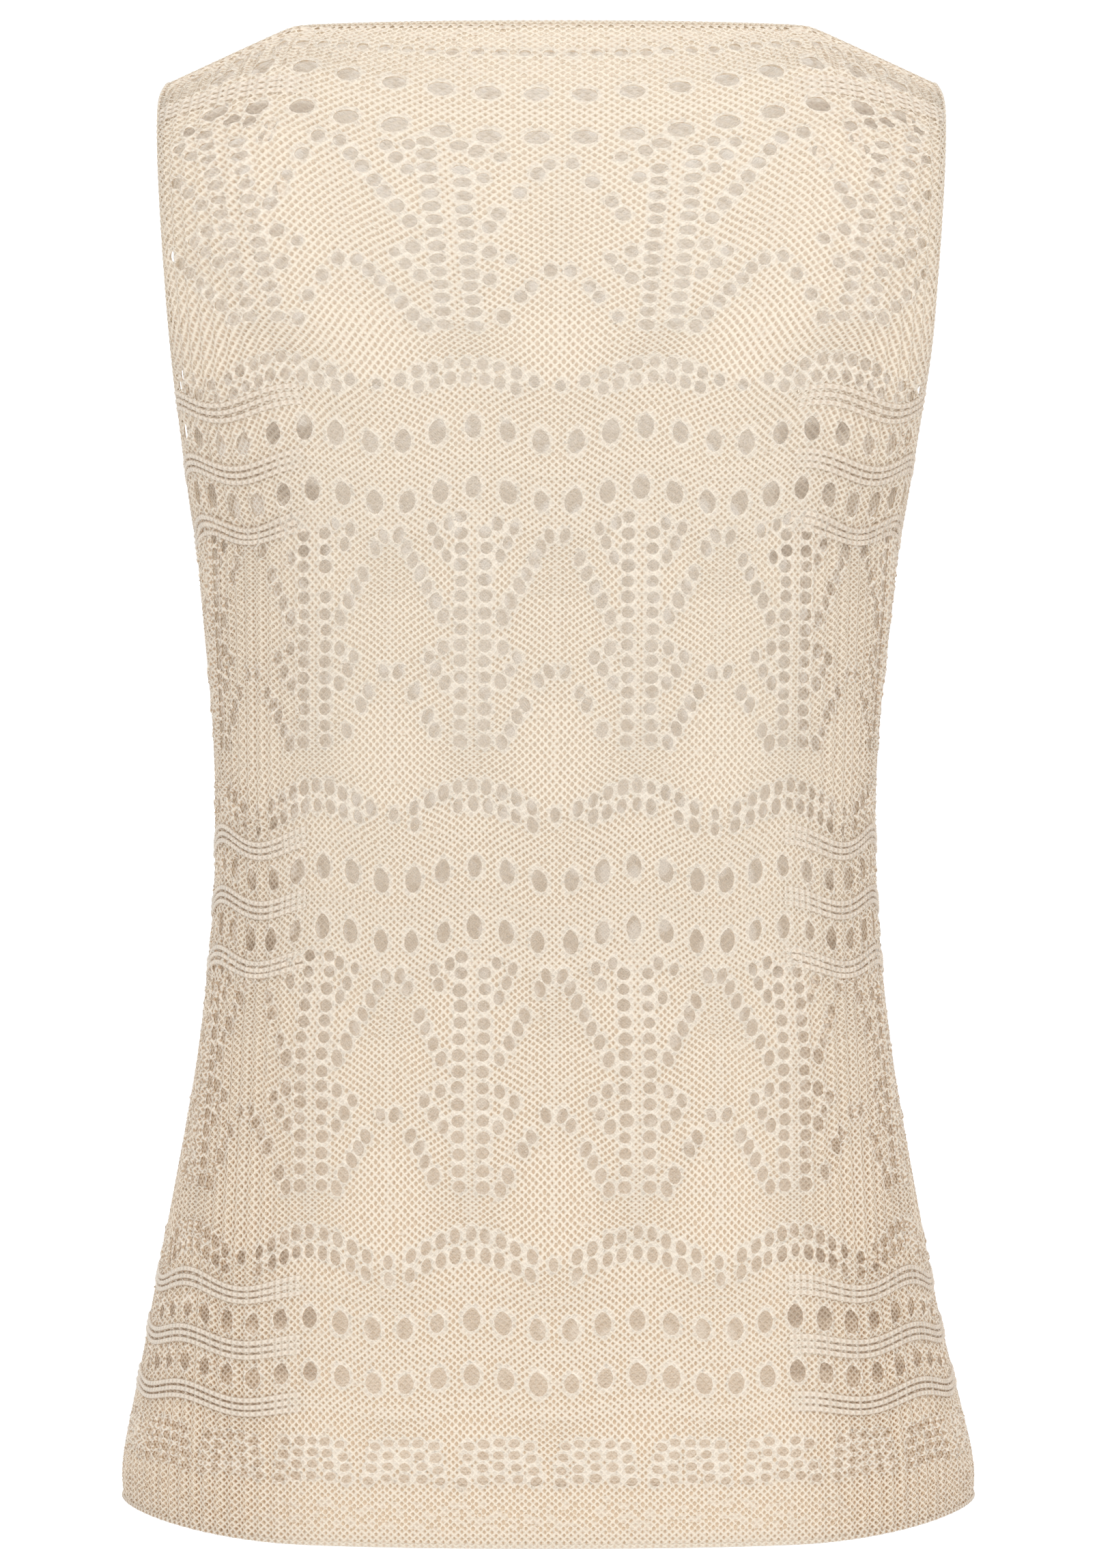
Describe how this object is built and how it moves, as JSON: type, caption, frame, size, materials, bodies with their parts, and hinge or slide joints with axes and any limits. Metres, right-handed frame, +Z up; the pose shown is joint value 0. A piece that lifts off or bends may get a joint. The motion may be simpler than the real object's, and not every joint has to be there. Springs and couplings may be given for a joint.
{
  "type": "sleeveless open-knit top",
  "caption": "Hollow sleeveless lace-knit top with a boat neck, filled out as worn, open at the neck, armholes and hem.",
  "frame": {"origin": "in the neck opening, midway between the two neck points, at the height where the shoulder seams start", "axes": "+Z up, the back of the top faces -Y, its front faces +Y, +X is to the right of someone who looks at the back"},
  "size_m": [0.333, 0.2384, 0.5851],
  "materials": {
    "knit": "soft sheen of multi-ply viscose yarn"
  },
  "bodies": {
    "root": {"back_panel": "knit", "front_panel": "knit"}
  },
  "joints": []
}
